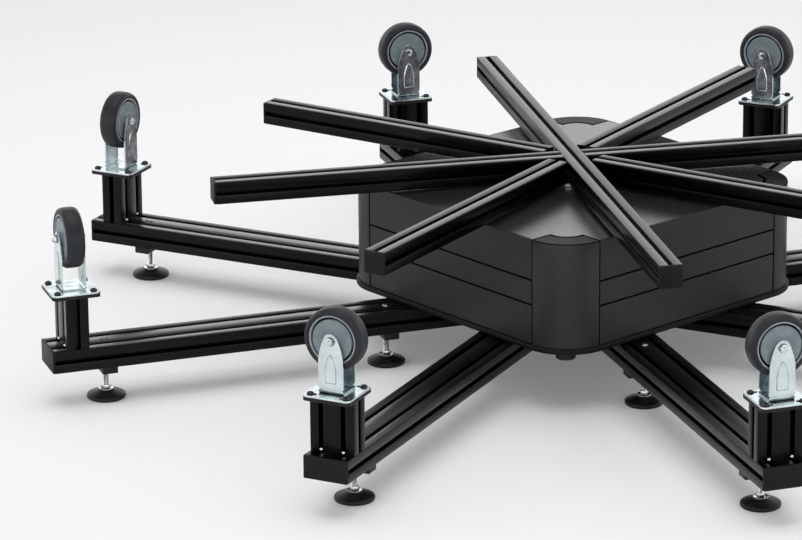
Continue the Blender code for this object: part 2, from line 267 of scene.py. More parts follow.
ANODISED = anodised()
CAP_LOOK = moulded("end_cap_plastic", (0.004, 0.004, 0.004), (0.006, 0.006, 0.006), 0.5, 800, 0.16)
BLACK = moulded("black_moulded_plastic", (0.004, 0.004, 0.004), (0.008, 0.008, 0.008),
                0.45, 700, 0.25)
SOOT = moulded("wheel_core_plastic", (0.002, 0.002, 0.002), (0.004, 0.004, 0.004), 0.6, 700, 0.1)
# painted shade: near-black for the faces inside grooves and seams and on the column tops' rims,
# where shade falls
GAP_SHADE = moulded("shadow_gap", (0.001, 0.001, 0.001), (0.002, 0.002, 0.002), 0.8, 700, 0.02)
BLACK_STEEL = moulded("blackened_steel", (0.005, 0.005, 0.006), (0.010, 0.010, 0.011),
                      0.34, 500, 0.4)
PANEL = powder("charcoal_powder_coat", (0.0135, 0.0125, 0.0125), (0.0175, 0.0163, 0.0163),
               0.42, 0.10, 0.28)
MATT = powder("charcoal_column_top", (0.0065, 0.0063, 0.0070), (0.0090, 0.0087, 0.0096),
              0.5, 0.10, 0.16)
BASE_LOOK = powder("charcoal_base_coat", (0.0045, 0.0043, 0.0044), (0.0065, 0.0062, 0.0063),
                   0.5, 0.10, 0.12)
COVER = powder("charcoal_gloss_coat", (0.010, 0.010, 0.011), (0.013, 0.013, 0.0145),
               0.28, 0.02, 1.0)
ZINC = zinc()
# painted shade: dark zinc on the axle washers, a dark ring around the nut and the bolt head
WASHER_SHADE_ZINC = zinc("zinc_washer_painted_shade", (0.22, 0.24, 0.25), 0.28, 0.6)
NUT_ZINC = zinc("zinc_nut", (0.78, 0.80, 0.81), 0.16, 0.6)
# painted shade: a darker copy of the bright zinc, for faces that face up or down and for the fork's
# low inner bends
TOP_SHADE_ZINC = zinc("zinc_painted_shade_on_tops", (0.48, 0.55, 0.565), 0.13, 0.45, 0.2)
# painted shade: darker zinc for the leg faces inside the fork, where the tyre shades them
INNER_SHADE_ZINC = zinc("zinc_painted_shade_inside_fork", (0.50, 0.60, 0.63), 0.24, 0.5, 0.25)
# painted reflection: darker zinc for the leg face that looks at the dark box
SHADED_ZINC = zinc("zinc_painted_box_reflection", (0.38, 0.40, 0.43), 0.24, 0.45, 0.25)
# painted shade: darker zinc for the sloping rim of the pressed panel on the outer leg
ARCH_SHADE_ZINC = zinc("zinc_painted_shade_on_arch_rim", (0.34, 0.38, 0.39), 0.3, 0.8)
DOME = zinc("blackened_dome", (0.34, 0.34, 0.36), 0.18, 0.6)
TYRE = rubber()
HUB = hub_plastic("hub_guard_plastic", (0.118, 0.153, 0.166), (0.170, 0.212, 0.224), 0.38)
RIM = hub_plastic("hub_rim_plastic", (0.20, 0.22, 0.25), (0.27, 0.29, 0.33), 0.30)
STEEL = zinc("machined_steel", (0.50, 0.50, 0.52), 0.34)
HOUSING = powder("motor_housing_paint", (0.10, 0.11, 0.12), (0.13, 0.14, 0.15), 0.5, 0.2, 0.45)


# ---------------------------------------------------------------- modelling helpers
def weld(work):
    """Joins doubled points and turns all faces outwards."""
    bmesh.ops.remove_doubles(work, verts=work.verts, dist=JOINED)
    bmesh.ops.recalc_face_normals(work, faces=work.faces)


def clean(work, sharp=32):
    """Welds the shape, then shades it smooth except across its sharp edges."""
    weld(work)
    for face in work.faces:
        face.smooth = True
    for edge in work.edges:
        edge.smooth = len(edge.link_faces) == 2 and edge.calc_face_angle(0) < math.radians(sharp)


def to_mesh(work, name, sharp=32):
    clean(work, sharp)
    mesh = bpy.data.meshes.new(name)
    work.to_mesh(mesh)
    work.free()
    return mesh


def level(mesh, axis):
    """Shades flat the faces square to an axis, so that their softened rims don't shade them."""
    for face in mesh.polygons:
        if abs(face.normal[axis]) > 0.999:
            face.use_smooth = False
    return mesh


def paint(mesh, looks, choose):
    """Gives each face the look that choose picks from its middle and the way it faces."""
    for look in looks:
        mesh.materials.append(look)
    for face in mesh.polygons:
        face.material_index = looks.index(choose(face.center, face.normal))
    return mesh


def loft(rings, close=False, caps=True):
    """A skin over rings of equal length, each a list of 3-D points, with its ends filled."""
    work = bmesh.new()
    made = [[work.verts.new(point) for point in ring] for ring in rings]
    count = len(rings[0])
    pairs = list(zip(made, made[1:])) + ([(made[-1], made[0])] if close else [])
    for first, second in pairs:
        for i in range(count):
            j = (i + 1) % count
            work.faces.new((first[i], first[j], second[j], second[i]))
    if caps and not close:
        work.faces.new(made[0])
        work.faces.new(made[-1])
    return work


def flat(outline, z):
    return [(x, y, z) for x, y in outline]


def inset(outline, depth):
    """The anticlockwise outline moved inwards by depth, along its corners' bisectors."""
    made, count = [], len(outline)
    for i in range(count):
        before, here, after = (Vector(outline[j % count]) for j in (i - 1, i, i + 1))
        first, second = (here - before).normalized(), (after - here).normalized()
        n1, n2 = Vector((-first.y, first.x)), Vector((-second.y, second.x))
        bisector = n1 + n2
        if bisector.length < 0.001:
            bisector = n1
        bisector.normalize()
        reach = depth / max(0.3, bisector.dot(n1))
        made.append(tuple(here + bisector * reach))
    return made


def slab(outline, low, high, edge=0.0, lower_edge=None):
    """A flat plate with rounded rims: edge at the top, and lower_edge or the same below."""
    lower_edge = edge if lower_edge is None else lower_edge
    rings = []
    if lower_edge:
        rings += [flat(inset(outline, lower_edge), low),
                  flat(inset(outline, lower_edge * 0.3), low + lower_edge * 0.3),
                  flat(outline, low + lower_edge)]
    else:
        rings.append(flat(outline, low))
    if edge:
        rings += [flat(outline, high - edge), flat(inset(outline, edge * 0.3), high - edge * 0.3),
                  flat(inset(outline, edge), high)]
    else:
        rings.append(flat(outline, high))
    return loft(rings)


def lathe(profile, steps, close=True):
    """A profile of (radius, z) turned about Z. With close, its last point joins its first."""
    work = bmesh.new()
    rings = []
    for i in range(steps):
        angle = math.tau * i / steps
        rings.append([work.verts.new((r * math.cos(angle), r * math.sin(angle), z))
                      for r, z in profile])
    count = len(profile)
    for i in range(steps):
        first, second = rings[i], rings[(i + 1) % steps]
        for j in range(count if close else count - 1):
            k = (j + 1) % count
            if profile[j][0] < 1e-7 and profile[k][0] < 1e-7:
                continue
            if profile[j][0] < 1e-7:
                work.faces.new((first[j], first[k], second[k]))
            elif profile[k][0] < 1e-7:
                work.faces.new((first[j], first[k], second[j]))
            else:
                work.faces.new((first[j], first[k], second[k], second[j]))
    return work


def arc(centre, radius, first, last, count):
    made = []
    for i in range(count):
        angle = math.radians(first + (last - first) * i / (count - 1))
        made.append((centre[0] + radius * math.cos(angle), centre[1] + radius * math.sin(angle)))
    return made


def rounded(width, height, radius, steps=5):
    """A rectangle with rounded corners, anticlockwise."""
    x, y = width / 2 - radius, height / 2 - radius
    made = []
    for sx, sy, start in ((1, 1, 0), (-1, 1, 90), (-1, -1, 180), (1, -1, 270)):
        made += arc((sx * x, sy * y), radius, start, start + 90, steps)
    return made


def hexagon(across_corners):
    return arc((0, 0), across_corners / 2, 0, 300, 6)


def merge(*parts):
    """One mesh of several, each (bmesh, matrix), still as separate shells."""
    work = bmesh.new()
    for part, matrix in parts:
        mesh = bpy.data.meshes.new("part")
        clean(part)
        part.to_mesh(mesh)
        part.free()
        mesh.transform(matrix)
        work.from_mesh(mesh)
        bpy.data.meshes.remove(mesh)
    return work


def shift(x=0.0, y=0.0, z=0.0):
    return Matrix.Translation((x, y, z))


def turn(degrees, axis):
    return Matrix.Rotation(math.radians(degrees), 4, axis)


def radial(azimuth, radius=0.0, height=0.0):
    """Local X runs sideways, local Y up and local Z outwards along the azimuth."""
    angle = math.radians(azimuth)
    out = Vector((math.cos(angle), math.sin(angle), 0))
    side = Vector((-math.sin(angle), math.cos(angle), 0))
    axes = Matrix((side, Vector((0, 0, 1)), out)).transposed().to_4x4()
    return Matrix.Translation(out * radius + Vector((0, 0, height))) @ axes


def upright(azimuth, radius=0.0, height=0.0):
    """Local X runs outwards along the azimuth, local Y sideways and local Z up."""
    return turn(azimuth, "Z") @ shift(radius, 0, height)


def place(name, mesh, look, body, slot, matrix=STILL, replaces=()):
    """An object of the mesh, with its look, riding on its body."""
    piece = bpy.data.objects.new(name, mesh)
    bpy.context.scene.collection.objects.link(piece)
    if not mesh.materials:
        mesh.materials.append(look)
    piece.matrix_world = matrix
    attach(piece, body)
    if replaces:
        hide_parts(*replaces)
    return piece


# ---------------------------------------------------------------- slotted extrusions
def slot_run(centre):
    """One slot as (along, depth): rounded lips, straight walls, an undercut, a narrow floor."""
    lip = 0.0007
    half = [
        (SLOT + lip, 0.0), (SLOT + lip * 0.3, lip * 0.3), (SLOT, lip), (SLOT, 0.0040),
        (0.0076, 0.0052), (0.0076, 0.0072), (0.0046, 0.0118),
    ]
    return [(centre - x, d) for x, d in half] + [(centre + x, d) for x, d in reversed(half)]


def slotted(width, height, corner=0.0016):
    """Outline of an extrusion with one T-slot per module on each of its faces, anticlockwise."""
    points = []
    sides = (
        (width, height, 1, 0), (height, width, 0, 1), (width, height, -1, 0),
        (height, width, 0, -1),
    )
    for length, across, cosine, sine in sides:
        slots = round(length / MODULE)
        run = [(-length / 2 + corner, 0.0)]
        for index in range(slots):
            run += slot_run((index - (slots - 1) / 2) * MODULE)
        run += [(length / 2 - corner, 0.0)]
        run += [(length / 2 - corner * 0.62, corner * 0.08),
                (length / 2 - corner * 0.29, corner * 0.29)]
        run += [(length / 2 - corner * 0.08, corner * 0.62)]
        for along, depth in run:
            x, y = along, -across / 2 + depth
            points.append((x * cosine - y * sine, x * sine + y * cosine))
    return points


def extrusion(name, width, height, low, high):
    outline = slotted(width, height)
    return to_mesh(loft([flat(outline, low), flat(outline, high)]), name, 25)


def end_cap(name, width, height):
    """A moulded cap, CAP thick, its outer edges rounded."""
    outline = rounded(width - 0.0004, height - 0.0004, 0.0018, 4)
    return to_mesh(slab(outline, 0.0002, CAP, 0.0009, 0.0), name)


# ---------------------------------------------------------------- base arms
def button_head(radius, height, recess=True):
    """A button-head screw standing on Z = 0, with a small drive recess."""
    profile = [
        (0, 0), (radius, 0), (radius, height * 0.25), (radius * 0.9, height * 0.6),
        (radius * 0.66, height * 0.9), (radius * 0.45, height),
    ]
    if recess:
        profile += [(radius * 0.42, height), (radius * 0.38, height * 0.35), (0, height * 0.3)]
    else:
        profile += [(0, height)]
    return lathe(profile, 16, close=False)


def foot_block():
    """Black block clamped under an arm, its lower edges rounded."""
    bottom = BLOCK_Z - ARM_TOP + MODULE
    return slab(rounded(*BLOCK, 0.0022, 4), bottom, -0.0002, 0.0, 0.0012)


def make_arms():
    arm = extrusion("arm_extrusion", 2 * MODULE, MODULE, ARM_IN, ARM_OUT - CAP)
    cap = end_cap("arm_cap", 2 * MODULE, MODULE)
    block = to_mesh(foot_block(), "foot_block")
    bore = lathe([(0.0053, -0.0002), (0.0075, -0.0002), (0.0075, 0.0006), (0.0053, 0.0006)], 24)
    collar = to_mesh(bore, "foot_collar")
    flat_head = button_head(0.0034, 0.0009)
    pair = to_mesh(merge((flat_head.copy(), shift(FOOT_OUTER - 0.0035)),
                         (flat_head, shift(FOOT_OUTER + 0.0055))), "arm_screws")
    dome = to_mesh(button_head(SCREW_R, 0.0030), "arm_dome")
    for k in ARMS:
        azimuth = AZIMUTH[k]
        low = ARM_TOP - MODULE
        place(f"arm_extrusion_{k}", arm, ANODISED, "base", "black_anodised",
              radial(azimuth, 0, low + MODULE / 2),
              (f"base_arm_{k}",))
        place(f"arm_cap_{k}", cap, CAP_LOOK, "base", "black_plastic",
              radial(azimuth, ARM_OUT - CAP, low + MODULE / 2))
        place(f"arm_screws_{k}", pair, BLACK_STEEL, "base", "machined_steel",
              upright(azimuth, 0, ARM_TOP))
        feet = [(FOOT_OUTER, "outer")] + ([(FOOT_INNER, "inner")] if k in INNER else [])
        for radius, label in feet:
            place(f"foot_block_{label}_{k}", block, BLACK, "base", "black_plastic",
                  upright(azimuth, radius, low))
            place(f"foot_collar_{label}_{k}", collar, NUT_ZINC, "base", "machined_steel",
                  upright(azimuth, radius, BLOCK_Z))
        if k in INNER:
            place(f"arm_dome_{k}", dome, DOME, "base", "machined_steel",
                  upright(azimuth, FOOT_INNER, ARM_TOP))


# ---------------------------------------------------------------- posts
def make_posts():
    post = extrusion("post_extrusion", MODULE, 2 * MODULE, POST_Z, ADAPTOR_Z)
    adaptor = to_mesh(slab(rounded(PLATE, PLATE, 0.007, 6), ADAPTOR_Z, POST_TOP, 0.0005),
                      "post_adaptor")
    screws = []
    for face in (0, 180):
        for side in (-MODULE / 2, MODULE / 2):
            spot = turn(face, "Z") @ shift(MODULE / 2 - 0.0012, side, ARM_TOP + 0.0034)
            screws.append((button_head(0.0033, 0.0026), spot @ turn(90, "Y")))
    screws = to_mesh(merge(*screws), "post_screws")
    for k in ARMS:
        spot = upright(AZIMUTH[k], POST_R)
        place(f"post_extrusion_{k}", post, ANODISED, "base", "black_anodised", spot,
              (f"castor_post_{k}",))
        place(f"post_adaptor_{k}", adaptor, BLACK, "base", "black_anodised", spot)
        place(f"post_screws_{k}", screws, ZINC, "base", "machined_steel", spot)


# ---------------------------------------------------------------- castors
def evaluated(drawn):
    """A new mesh of the object as its modifiers and curve settings leave it."""
    bpy.context.view_layer.update()
    graph = bpy.context.evaluated_depsgraph_get()
    return bpy.data.meshes.new_from_object(drawn.evaluated_get(graph))


def filled(outlines, low, high, edge):
    """A plate with bevelled rims, drawn as a filled 2-D curve so that it can have holes."""
    curve = bpy.data.curves.new("outline", "CURVE")
    curve.dimensions = "2D"
    curve.fill_mode = "BOTH"
    curve.extrude = (high - low) / 2 - edge
    curve.bevel_depth = edge
    curve.bevel_resolution = 1
    curve.offset = -edge
    for outline in outlines:
        spline = curve.splines.new("POLY")
        spline.points.add(len(outline) - 1)
        for point, (x, y) in zip(spline.points, outline):
            point.co = (x, y, 0, 1)
        spline.use_cyclic_u = True
    drawn = bpy.data.objects.new("outline", curve)
    bpy.context.scene.collection.objects.link(drawn)
    mesh = evaluated(drawn)
    bpy.data.objects.remove(drawn, do_unlink=True)
    bpy.data.curves.remove(curve)
    mesh.materials.clear()
    work = bmesh.new()
    work.from_mesh(mesh)
    bpy.data.meshes.remove(mesh)
    bmesh.ops.translate(work, verts=work.verts, vec=(0, 0, (high + low) / 2))
    return work


def boolean(first, second, operation):
    """The Boolean of two bmeshes, as a new bmesh."""
    objects = []
    for work in (first, second):
        weld(work)
        mesh = bpy.data.meshes.new("operand")
        work.to_mesh(mesh)
        work.free()
        made = bpy.data.objects.new("operand", mesh)
        bpy.context.scene.collection.objects.link(made)
        objects.append(made)
    change = objects[0].modifiers.new("Combine", "BOOLEAN")
    change.operation, change.solver, change.object = operation, "EXACT", objects[1]
    mesh = evaluated(objects[0])
    for made in objects:
        data = made.data
        bpy.data.objects.remove(made, do_unlink=True)
        bpy.data.meshes.remove(data)
    work = bmesh.new()
    work.from_mesh(mesh)
    bpy.data.meshes.remove(mesh)
    return work


def fork_channel():
    """The fork's U section, x outwards and z up, drawn along Y, its bends rounded both sides."""
    outer, inner = 0.0046, 0.0020
    high = FORK_TOP + 0.005
    outside, inside = (FORK_HALF - outer, PLATE_TOP + outer), FORK_HALF - FORK_T - inner
    right = arc(outside, outer, -90, 0, 7)
    right += [(FORK_HALF, high), (FORK_HALF - FORK_T, high)]
    right += arc((inside, PLATE_TOP + FORK_T + inner), inner, 0, -90, 6)
    section = right + [(-x, z) for x, z in reversed(right)]
    return loft([[(x, y, z) for x, z in section] for y in (-0.04, 0.04)])


def fork_side():
    """The fork seen along the axle: straight sides, relief notches at the bends, a rounded tip."""
    wide, tip = FORK_WIDE, FORK_TOP - AXLE_Z
    shoulder = PLATE_TOP + FORK_SHOULDER
    relief, relief_z = 0.0022, PLATE_TOP + 0.0072
    bites = [math.radians(angle) for angle in range(0, 181, 30)]
    notch = [(wide - relief * math.sin(a), relief_z - relief * math.cos(a)) for a in bites]
    right = [(wide, PLATE_TOP - 0.001)] + notch + [
        (wide, shoulder - 0.003), (wide - 0.0003, shoulder + 0.002),
        (wide - 0.0013, shoulder + 0.0085), (wide - 0.0032, AXLE_Z - 0.015),
        (wide - 0.0058, AXLE_Z - 0.007), (wide - 0.0087, AXLE_Z + 0.0005),
    ]
    head = arc((0, AXLE_Z), tip, 22, 158, 15)
    section = right + head + [(-x, z) for x, z in reversed(right)]
    return loft([[(x, y, z) for y, z in section] for x in (-0.03, 0.03)])


def arch(inset_by, bottom=0.0180, top=0.0665, half=0.0104):
    """The pressed panel on a fork leg: a pointed arch, as (sideways, height above the plate)."""
    half, bottom, top = half - inset_by, bottom + inset_by, top - inset_by
    spring = top - 0.024
    made = [(-half + 0.002, bottom), (half - 0.002, bottom), (half - 0.0006, bottom + 0.0006),
            (half, bottom + 0.002), (half, spring)]
    for i in range(1, 8):
        share = i / 8
        made.append((half * (1 - share), spring + (top - spring) * (1 - (1 - share) ** 2)))
    made += [(0, top)]
    made += [(-x, z) for x, z in reversed(made[3:-1])] + [(-half + 0.0006, bottom + 0.0006)]
    return made


def fork_panel(hand):
    """A pressed panel standing 1.1 mm proud of a leg's outer face, with sloping sides."""
    face = FORK_HALF * hand
    steps = ((-0.0006, -0.0004), (0.0, 0.0), (0.0011, 0.0013))
    return loft([[(face + depth * hand, y, PLATE_TOP + z) for y, z in arch(grow)]
                 for depth, grow in steps])


def fork():
    work = boolean(fork_channel(), fork_side(), "INTERSECT")
    for hand in (-1, 1):
        work = boolean(work, fork_panel(hand), "UNION")
    return work


def fork_look(spot, normal):
    """The look of one of the fork's faces, from its place and the way it faces; all looks but the
    bright zinc are darker copies of it, painted shade.
    """
    if abs(normal.x) > 0.95:
        if abs(spot.x) < FORK_HALF - 0.0015:
            # painted shade: the leg faces inside the fork get the darker zinc
            return INNER_SHADE_ZINC
        # painted reflection: the leg face towards the box gets the darker zinc
        return SHADED_ZINC if spot.x < 0 else ZINC
    if normal.z > 0.9 or spot.z < PLATE_TOP + 0.007 and abs(spot.x) < FORK_HALF - 0.005:
        # painted shade: upward faces and the low inner bends get the darker zinc
        return TOP_SHADE_ZINC
    pressed = abs(spot.y) < 0.0115 and spot.z < PLATE_TOP + 0.07
    # painted shade: the pressed panel's sloping rim on the outer leg gets the darker zinc, a dark
    # line around it
    return ARCH_SHADE_ZINC if pressed and spot.x > 0 else ZINC


def fork_mesh():
    """The fork with its sheared edges softened."""
    work = fork()
    weld(work)
    rims = [
        edge for edge in work.edges
        if len(edge.link_faces) == 2 and edge.calc_face_angle(0) > math.radians(70)
    ]
    bmesh.ops.bevel(work, geom=rims, offset=0.0005, segments=1, affect="EDGES", clamp_overlap=True)
    looks = (ZINC, TOP_SHADE_ZINC, INNER_SHADE_ZINC, SHADED_ZINC, ARCH_SHADE_ZINC)
    return level(paint(to_mesh(work, "castor_fork", 34), looks, fork_look), 0)


def slot_hole(x, y, length, width):
    half, radius = (length - width) / 2, width / 2
    return ([(x + px, y + half + py) for px, py in arc((0, 0), radius, 0, 180, 9)]
            + [(x + px, y - half + py) for px, py in arc((0, 0), radius, 180, 360, 9)])


def castor_plate():
    """Zinc plate with four slotted holes, long in the rolling direction."""
    holes = [slot_hole(x, y - math.copysign(0.0035, y), 0.0170, 0.0086) for x, y in BOLT_SPOTS]
    mesh = to_mesh(filled([rounded(PLATE, PLATE, 0.0085, 7)] + holes, PLATE_Z, PLATE_TOP, 0.0005),
                   "castor_plate")
    # painted shade: the plate's flat faces get the darker zinc, its edges the bright zinc
    paint(mesh, (TOP_SHADE_ZINC, ZINC), lambda _, normal: ZINC if abs(normal.z) < 0.9 else TOP_SHADE_ZINC)
    return level(mesh, 2)


def axle_set():
    """Axle bolt: head and washer on one side of the fork, washer and nut on the other."""
    along = turn(90, "Y")
    shank_r, end = AXLE_R - 0.0002, FORK_HALF + 0.0095
    shank = lathe([
        (0, -FORK_HALF - 0.001), (shank_r, -FORK_HALF - 0.001), (shank_r, FORK_HALF + 0.0060),
        (shank_r, FORK_HALF + 0.0088), (AXLE_R - 0.0010, end), (0, end),
    ], 20, close=False)
    washer = [(AXLE_R, 0), (0.0078, 0), (0.0078, 0.0009), (0.0075, 0.0012), (AXLE_R, 0.0012)]
    nut = slab(hexagon(AXLE_HEX), 0, 0.0046, 0.0008)
    head = slab(hexagon(AXLE_HEX), 0, 0.0040, 0.0009, 0.0)
    mesh = to_mesh(merge(
        (shank, along),
        (lathe(washer, 28), along @ shift(z=FORK_HALF)),
        (lathe(washer, 28), along @ turn(180, "X") @ shift(z=FORK_HALF)),
        (nut, along @ shift(z=FORK_HALF + 0.0012) @ turn(12, "Z")),
        (head, along @ turn(180, "X") @ shift(z=FORK_HALF + 0.0012) @ turn(20, "Z")),
    ), "castor_axle")

    def washer_or_nut(spot, _):
        from_axle = math.hypot(spot.y, spot.z)
        on_washer = abs(spot.x) < FORK_HALF + 0.00125 and from_axle > AXLE_R + 0.0005
        # painted shade: the washers get the dark zinc
        return WASHER_SHADE_ZINC if on_washer else NUT_ZINC

    return paint(mesh, (NUT_ZINC, WASHER_SHADE_ZINC), washer_or_nut)


def plate_bolts():
    heads = ((button_head(SCREW_R, 0.0036), shift(x, y, PLATE_TOP)) for x, y in BOLT_SPOTS)
    return to_mesh(merge(*heads), "castor_bolts")


def mirrored(side):
    """A closed (radius, z) profile from one side's points, listed from the outer middle inwards."""
    return side + [(r, -z) for r, z in reversed(side) if z]


def wheel_meshes():
    outer = WHEEL_R
    tyre = mirrored([
        (outer, 0.0), (outer, 0.0050), (outer - 0.0003, 0.0090), (outer - 0.0012, 0.0122),
        (outer - 0.0028, 0.0147), (outer - 0.0050, 0.0160), (outer - 0.0078, TREAD),
        (0.0422, TREAD - 0.0004), (0.0419, TREAD - 0.0016), (0.0419, 0.0040), (0.0419, 0.0),
    ])
    rim = mirrored([
        (0.0418, 0.0), (0.0418, 0.0148), (0.0414, 0.0156), (0.0396, 0.0158),
        (0.0390, 0.0153), (0.0386, 0.0135), (0.0384, 0.0085), (0.0384, 0.0),
    ])
    core = mirrored([
        (0.0383, 0.0), (0.0383, 0.0080), (0.0110, 0.0080), (0.0110, 0.0144),
        (0.0053, 0.0144), (0.0053, 0.0),
    ])
    guard = [
        (0.0102, 0.0100), (0.0350, 0.0100), (0.0352, 0.0145), (0.0349, 0.0152),
        (0.0342, 0.0155), (0.0334, 0.0152), (0.0328, 0.0150), (0.0160, 0.0146),
        (0.0125, 0.0150), (0.0108, 0.0160), (0.0102, HUB_HALF - 0.0006),
        (0.0096, HUB_HALF), (0.0056, HUB_HALF), (0.0056, 0.0148), (0.0102, 0.0148),
    ]
    guards = merge((lathe(guard, 72), STILL), (lathe(guard, 72), turn(180, "X")))
    return (to_mesh(lathe(tyre, 88), "wheel_tyre", 40), to_mesh(lathe(rim, 80), "wheel_rim"),
            to_mesh(lathe(core, 48), "wheel_core"), to_mesh(guards, "wheel_guards"))


def make_castors():
    plate, bent, axle, bolts = castor_plate(), fork_mesh(), axle_set(), plate_bolts()
    tyre, rim, core, guards = wheel_meshes()
    for k in ARMS:
        spot = upright(AZIMUTH[k], POST_R)
        place(f"castor_plate_{k}", plate, TOP_SHADE_ZINC, "base", "zinc_plate", spot,
              (f"castor_bracket_{k}",))
        place(f"castor_fork_{k}", bent, ZINC, "base", "zinc_plate", spot)
        place(f"castor_axle_{k}", axle, WASHER_SHADE_ZINC, "base", "zinc_plate",
              upright(AZIMUTH[k], POST_R, AXLE_Z))
        place(f"castor_bolts_{k}", bolts, BLACK_STEEL, "base", "machined_steel", spot)
        spot, body = radial(AZIMUTH[k], POST_R, AXLE_Z), f"wheel_{k}"
        place(f"wheel_tyre_{k}", tyre, TYRE, body, "grey_tyre", spot, (f"castor_wheel_{k}",))
        place(f"wheel_rim_{k}", rim, RIM, body, "black_plastic", spot)
        place(f"wheel_core_{k}", core, SOOT, body, "black_plastic", spot)
        place(f"wheel_guards_{k}", guards, HUB, body, "black_plastic", spot)


# ---------------------------------------------------------------- levelling feet
def thread(radius, depth, pitch, low, high, around=18):
    """A rod with a helical thread from low to high, closed at both ends."""
    rows = max(2, round((high - low) / pitch * 4))
    rings = []
    for row in range(rows + 1):
        z = low + (high - low) * row / rows
        ring = []
        for i in range(around):
            phase = (z / pitch - i / around) % 1.0
            crest = abs(2 * phase - 1)
            r = radius - depth * (1 - crest)
            angle = math.tau * i / around
            ring.append((r * math.cos(angle), r * math.sin(angle), z))
        rings.append(ring)
    return loft(rings)


def foot_pad():
    """Moulded pad: a low cone with a raised collar and a rounded rim."""
    profile = [
        (0, 0), (FOOT_R - 0.0022, 0), (FOOT_R - 0.0007, 0.0009), (FOOT_R, 0.0026),
        (FOOT_R, 0.0054), (FOOT_R - 0.0006, 0.0069), (FOOT_R - 0.0022, 0.0080),
        (0.0240, 0.0104), (0.0160, 0.0129), (0.0142, 0.0136), (0.0134, 0.0143),
        (0.0131, 0.0152), (0.0124, 0.0156), (0, 0.0156),
    ]
    return lathe(profile, 64, close=False)


def make_feet():
    pad = to_mesh(foot_pad(), "foot_pad", 36)
    dish = [
        (0.0050, 0.0157), (0.0122, 0.0157), (0.0126, 0.0161), (0.0126, 0.0171),
        (0.0122, 0.0175), (0.0115, 0.0173), (0.0095, 0.0166), (0.0050, 0.0166),
    ]
    nut = to_mesh(merge((lathe(dish, 40), STILL),
                        (slab(hexagon(STEM_HEX), 0.0166, 0.0235, 0.0009), STILL)), "foot_nut")
    plain = lathe([(0, 0.0600), (0.0041, 0.0600), (0.0041, 0.0760), (0, 0.0760)], 18, close=False)
    threaded = thread(STEM_R, 0.0008, 0.0015, 0.0236, 0.0600)
    rod = to_mesh(merge((threaded, STILL), (plain, STILL)), "foot_stem", 60)
    feet = [(f"levelling_foot_{k}", f"foot_{k}", AZIMUTH[k], FOOT_OUTER) for k in ARMS]
    feet += [(f"inner_foot_{k}", f"inner_foot_body_{k}", AZIMUTH[k], FOOT_INNER) for k in INNER]
    for index, (node, body, azimuth, radius) in enumerate(feet):
        spot = upright(azimuth, radius) @ turn(FOOT_TURN * index, "Z")
        label = node.replace("levelling_", "outer_")
        place(f"{label}_pad", pad, BLACK, body, "black_plastic", spot, (node,))
        place(f"{label}_nut", nut, NUT_ZINC, body, "machined_steel", spot)
        place(f"{label}_stem", rod, NUT_ZINC, body, "machined_steel", spot)


# ---------------------------------------------------------------- drive box
def quarters(points):
    """The points of one quarter, repeated all the way round."""
    ring = []
    for cosine, sine in ((1, 0), (0, 1), (-1, 0), (0, -1)):
        ring += [(x * cosine - y * sine, x * sine + y * cosine) for x, y in points]
    return ring


def notch_side(edge, radius):
    """Where the round notch meets the straight side of a column that lies along edge."""
    return NOTCH_AT + math.sqrt(radius ** 2 - (edge - NOTCH_AT) ** 2)


def notch(edge, radius):
    """The notch's round side, from its end on the X side to its end on the Y side."""
    bend = math.degrees(math.atan2(edge - NOTCH_AT, notch_side(edge, radius) - NOTCH_AT))
    return arc((NOTCH_AT, NOTCH_AT), radius, bend, 90 - bend, 17)


def column_mesh():
    """Corner of the box: a round outer face, and a top cut back along a round notch."""
    edge = SEAM + 0.0003
    inner = notch_side(edge, NOTCH_R)
    round_face = arc((SEAM, SEAM), BOX - SEAM, 1.4, 88.6, 31)
    start = [(BOX - 0.0022, edge), (BOX - 0.0004, edge + 0.0009)]
    outline = start + round_face + [(y, x) for x, y in reversed(start)] + [(edge, inner)]
    outline += notch(edge, NOTCH_R)[1:-1][::-1] + [(inner, edge)]
    mesh = to_mesh(slab(outline, BASE_TOP, BOX_TOP, 0.0015, 0.0), "corner_column", 40)

    def column_look(spot, normal):
        if normal.z > 0.98:
            return MATT
        from_notch = (spot.xy - Vector((NOTCH_AT, NOTCH_AT))).length
        # painted shade: faces in the seams and along the top rim get the black of the gap
        seam = min(spot.x, spot.y) < edge + 0.0006 or from_notch < NOTCH_R + 0.0010
        return GAP_SHADE if seam or spot.z > BOX_TOP - 0.0016 else PANEL

    return level(paint(mesh, (PANEL, GAP_SHADE, MATT), column_look), 2)


def panel_mesh():
    """Side panel with two long grooves, their insides and the panel's ends darkened with painted
    shade: its section in X and Z, laid along Y.
    """
    back, deep, soft = BOX - PANEL_T, 0.0026, 0.0006

    def section(out):
        made = [(back, PANEL_Z), (out - soft, PANEL_Z), (out, PANEL_Z + soft)]
        for height in GROOVES:
            made += [
                (out, height - 0.0022), (out - 0.0003, height - 0.0018),
                (out - deep, height - 0.0017),
                (out - deep, height + 0.0017), (out - 0.0003, height + 0.0018),
                (out, height + 0.0022),
            ]
        return made + [
            (out, BOX_TOP - 0.0009), (out - 0.0003, BOX_TOP - 0.0003), (out - 0.0009, BOX_TOP),
            (back, BOX_TOP),
        ]

    reach = SEAM - 0.0003
    rings = []
    for y, out in ((-reach, BOX - 0.0022), (-reach + 0.0010, BOX - 0.0004), (-reach + 0.0016, BOX),
                   (reach - 0.0016, BOX), (reach - 0.0010, BOX - 0.0004), (reach, BOX - 0.0022)):
        rings.append([(x, y, z) for x, z in section(out)])
    mesh = level(to_mesh(loft(rings), "side_panel", 30), 0)
    return darken(mesh, PANEL, lambda spot: spot.x < BOX - 0.0008 and (
        abs(spot.y) > reach - 0.0012 or min(abs(spot.z - height) for height in GROOVES) < 0.0016))


